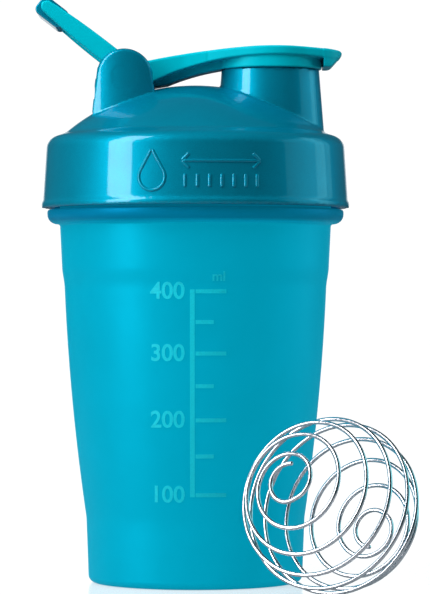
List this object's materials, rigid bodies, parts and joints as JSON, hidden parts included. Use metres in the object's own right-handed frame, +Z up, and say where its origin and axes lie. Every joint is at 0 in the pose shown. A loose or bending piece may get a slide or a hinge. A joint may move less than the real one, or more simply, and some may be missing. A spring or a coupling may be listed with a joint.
{
  "type": "protein shaker bottle",
  "caption": "Frosted shaker cup with a screw-on domed lid, drinking spout, snap-shut flip cap, folding carry loop and a loose wire mixing ball.",
  "frame": {"origin": "on the cup's axis, on the flat plane that the cup's foot and centre pad stand on", "axes": "+Z up along the cup's axis, +X from the hinge tower towards the spout, -Y towards the printed volume scale"},
  "size_m": [0.1215, 0.1277, 0.1896],
  "materials": {
    "cup_plastic": "frosted translucent polypropylene, fine matt surface",
    "scale_print": "light turquoise ink, flat",
    "lid_plastic": "gloss polypropylene with fine pearl pigment",
    "seal_silicone": "translucent white silicone",
    "pin_steel": "drawn stainless steel",
    "cap_plastic": "satin turquoise polypropylene",
    "plug_elastomer": "soft matt thermoplastic elastomer",
    "loop_plastic": "satin turquoise polypropylene",
    "grip_plastic": "gloss polypropylene with fine pearl pigment",
    "wire_steel": "electropolished stainless steel wire"
  },
  "bodies": {
    "cup": {"cup": "cup_plastic", "volume_scale": "scale_print"},
    "seal": {"lid_seal": "seal_silicone"},
    "lid": {"lid": "lid_plastic", "hinge_pin": "pin_steel"},
    "flip_cap": {"flip_cap": "cap_plastic", "cap_plug": "plug_elastomer"},
    "carry_loop": {"carry_loop": "loop_plastic", "loop_grip": "grip_plastic"},
    "whisk_ball": {"whisk_ball": "wire_steel"}
  },
  "joints": [
    {"name": "lid_rise", "type": "slide", "parent": "cup", "child": "seal", "axis": [0, 0, 1], "range_m": [0, 0.0321]},
    {"name": "lid_turn", "type": "hinge", "parent": "seal", "child": "lid", "pos_m": [0, 0, 0.14], "axis": [0, 0, 1], "range_deg": [0, 1440]},
    {"name": "cap_hinge", "type": "hinge", "parent": "lid", "child": "flip_cap", "pos_m": [-0.0228, 0, 0.1631], "axis": [0, -1, 0], "range_deg": [0, 105]},
    {"name": "loop_hinge", "type": "hinge", "parent": "lid", "child": "carry_loop", "pos_m": [-0.0228, 0, 0.1631], "axis": [0, -1, 0], "range_deg": [0, 70]},
    {"name": "whisk_lift", "type": "slide", "parent": "cup", "child": "whisk_ball", "axis": [0.1601, -0.1801, 0.9705], "range_m": [0, 0.15]}
  ],
  "couplings": [
    {"joint": "lid_rise", "follows": "lid_turn", "m_per_rad": 0.0012732}
  ]
}
